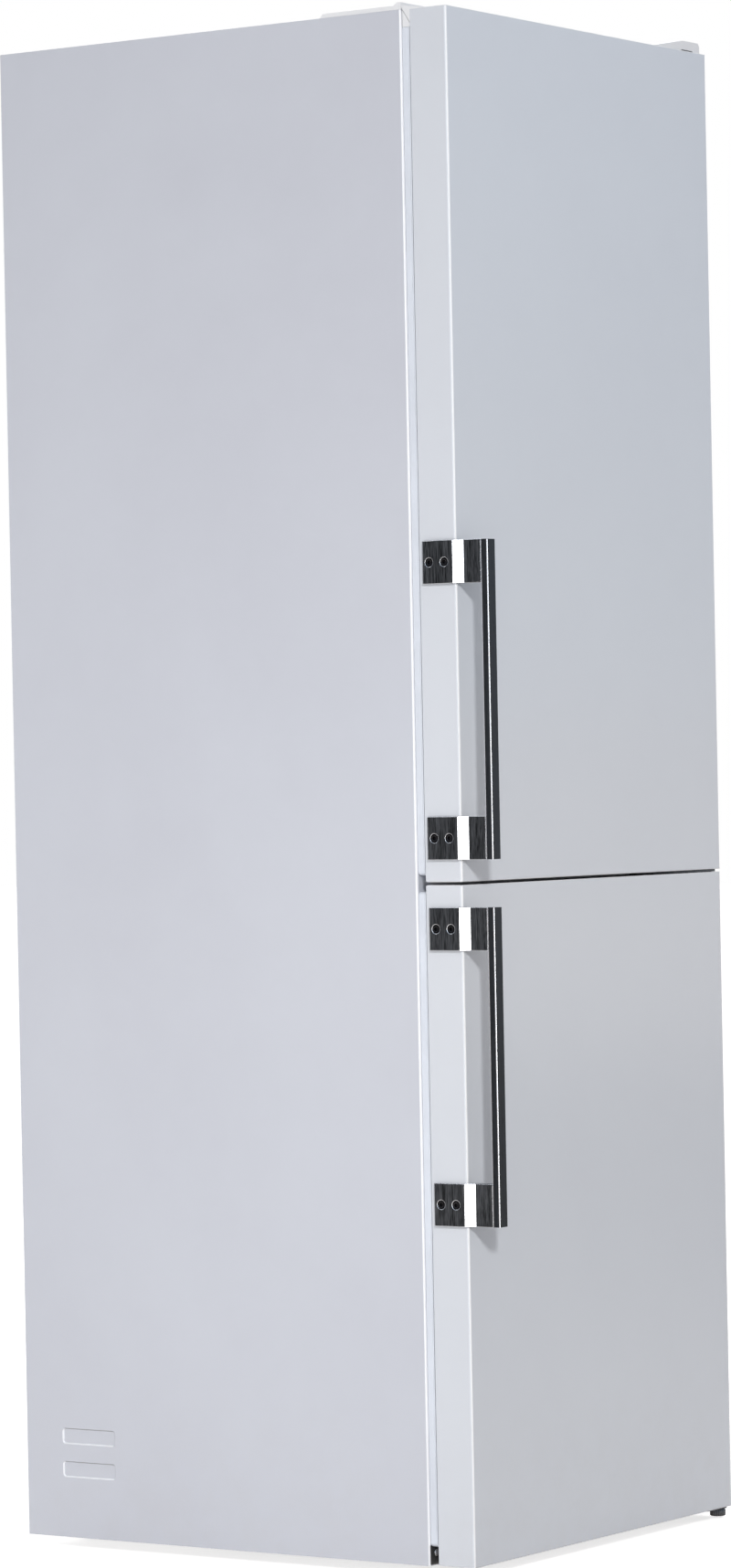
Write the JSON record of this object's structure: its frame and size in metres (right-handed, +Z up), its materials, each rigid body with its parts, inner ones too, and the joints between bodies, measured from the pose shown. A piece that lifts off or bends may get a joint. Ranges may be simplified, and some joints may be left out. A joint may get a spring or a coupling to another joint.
{
  "type": "fridge freezer",
  "caption": "Tall free-standing fridge freezer with a fridge door over a freezer door, bracketed bar handles, drawers, shelves and a machine bay.",
  "frame": {"origin": "on the floor at the middle of the footprint, with the handles counted in", "axes": "+Z up, -Y out of the doors towards the user, +X towards the hinge side"},
  "size_m": [0.599, 0.697, 1.85],
  "materials": {
    "door_paint": "semi-gloss white enamel",
    "cabinet_paint": "semi-gloss light grey enamel",
    "frame_steel": "white enamel",
    "zinc_steel": "zinc plated",
    "white_plastic": "satin moulded",
    "liner_plastic": "gloss vacuum-formed",
    "foam": "matt closed-cell foam",
    "seal_rubber": "matt soft",
    "handle_metal": "dark brushed",
    "screw_steel": "satin",
    "clear_plastic": "clear gloss",
    "shelf_glass": "toughened glass",
    "trim_plastic": "satin",
    "lens_plastic": "frosted",
    "knob_plastic": "satin",
    "coil_aluminium": "mill finish",
    "motor_plastic": "matt",
    "fan_plastic": "satin",
    "black_enamel": "semi-gloss black",
    "mount_rubber": "matt",
    "copper": "drawn copper",
    "black_plastic": "matt"
  },
  "bodies": {
    "cabinet": {"left_side_panel": "cabinet_paint", "right_side_panel": "cabinet_paint", "top_panel": "cabinet_paint", "back_panel": "zinc_steel", "base_frame": "frame_steel", "centre_rail": "frame_steel", "cabinet_foam": "foam", "fridge_liner": "liner_plastic", "freezer_liner": "liner_plastic", "top_cover": "white_plastic", "top_hinge": "zinc_steel", "middle_hinge": "zinc_steel", "bottom_hinge": "zinc_steel", "hinge_screws": "screw_steel", "fridge_shelves": "shelf_glass", "shelf_trims": "trim_plastic", "air_duct": "white_plastic", "control_housing": "white_plastic", "lamp_lens": "lens_plastic", "freezer_shelves": "shelf_glass", "evaporator_cover": "white_plastic", "evaporator": "coil_aluminium", "fan_motor": "motor_plastic", "compressor": "black_enamel", "compressor_mounts": "mount_rubber", "compressor_plate": "zinc_steel", "condenser": "black_enamel", "pipework": "copper", "drip_tray": "black_plastic", "terminal_box": "black_plastic", "cord_gland": "black_plastic"},
    "upper_door": {"upper_door_skin": "door_paint", "upper_door_caps": "white_plastic", "upper_door_foam": "foam", "upper_door_liner": "liner_plastic", "upper_seal": "seal_rubber", "upper_handle_bar": "handle_metal", "upper_handle_brackets": "handle_metal", "upper_handle_screws": "screw_steel", "top_bin": "clear_plastic", "middle_bin": "clear_plastic", "bottle_bin": "clear_plastic"},
    "lower_door": {"lower_door_skin": "door_paint", "lower_door_caps": "white_plastic", "lower_door_foam": "foam", "lower_door_liner": "liner_plastic", "lower_seal": "seal_rubber", "lower_handle_bar": "handle_metal", "lower_handle_brackets": "handle_metal", "lower_handle_screws": "screw_steel"},
    "crisper": {"crisper_drawer": "clear_plastic"},
    "top_drawer": {"top_freezer_drawer": "clear_plastic"},
    "middle_drawer": {"middle_freezer_drawer": "clear_plastic"},
    "bottom_drawer": {"bottom_freezer_drawer": "clear_plastic"},
    "knob": {"thermostat_knob": "knob_plastic"},
    "fan": {"fan_rotor": "fan_plastic"},
    "left_wheel": {"left_roller": "black_plastic"},
    "right_wheel": {"right_roller": "black_plastic"},
    "left_leg": {"left_foot": "black_plastic"},
    "right_leg": {"right_foot": "black_plastic"}
  },
  "joints": [
    {"name": "upper_door_hinge", "type": "hinge", "parent": "cabinet", "child": "upper_door", "pos_m": [0.2855, -0.2815, 1.3255], "axis": [0, 0, 1], "range_deg": [0, 120]},
    {"name": "lower_door_hinge", "type": "hinge", "parent": "cabinet", "child": "lower_door", "pos_m": [0.2855, -0.2815, 0.413], "axis": [0, 0, 1], "range_deg": [0, 120]},
    {"name": "crisper_slide", "type": "slide", "parent": "cabinet", "child": "crisper", "axis": [0, -1, 0], "range_m": [0, 0.228]},
    {"name": "top_drawer_slide", "type": "slide", "parent": "cabinet", "child": "top_drawer", "axis": [0, -1, 0], "range_m": [0, 0.18]},
    {"name": "middle_drawer_slide", "type": "slide", "parent": "cabinet", "child": "middle_drawer", "axis": [0, -1, 0], "range_m": [0, 0.18]},
    {"name": "bottom_drawer_slide", "type": "slide", "parent": "cabinet", "child": "bottom_drawer", "axis": [0, -1, 0], "range_m": [0, 0.18]},
    {"name": "thermostat_turn", "type": "hinge", "parent": "cabinet", "child": "knob", "pos_m": [0.07, -0.184, 1.7705], "axis": [0, 1, 0], "range_deg": [0, 270]},
    {"name": "fan_spin", "type": "hinge", "parent": "cabinet", "child": "fan", "pos_m": [0, 0.194, 0.7075], "axis": [0, 1, 0], "continuous": true},
    {"name": "left_wheel_spin", "type": "hinge", "parent": "cabinet", "child": "left_wheel", "pos_m": [-0.2615, 0.3125, 0.015], "axis": [1, 0, 0], "continuous": true},
    {"name": "right_wheel_spin", "type": "hinge", "parent": "cabinet", "child": "right_wheel", "pos_m": [0.2615, 0.3125, 0.015], "axis": [1, 0, 0], "continuous": true},
    {"name": "left_leg_screw", "type": "slide", "parent": "cabinet", "child": "left_leg", "axis": [0, 0, -1], "range_m": [0, 0.012]},
    {"name": "right_leg_screw", "type": "slide", "parent": "cabinet", "child": "right_leg", "axis": [0, 0, -1], "range_m": [0, 0.012]}
  ],
  "couplings": [
    {"joint": "crisper_slide", "follows": "upper_door_hinge", "m_per_rad": 0.1088},
    {"joint": "top_drawer_slide", "follows": "lower_door_hinge", "m_per_rad": 0.0859},
    {"joint": "middle_drawer_slide", "follows": "lower_door_hinge", "m_per_rad": 0.0859},
    {"joint": "bottom_drawer_slide", "follows": "lower_door_hinge", "m_per_rad": 0.0859}
  ]
}
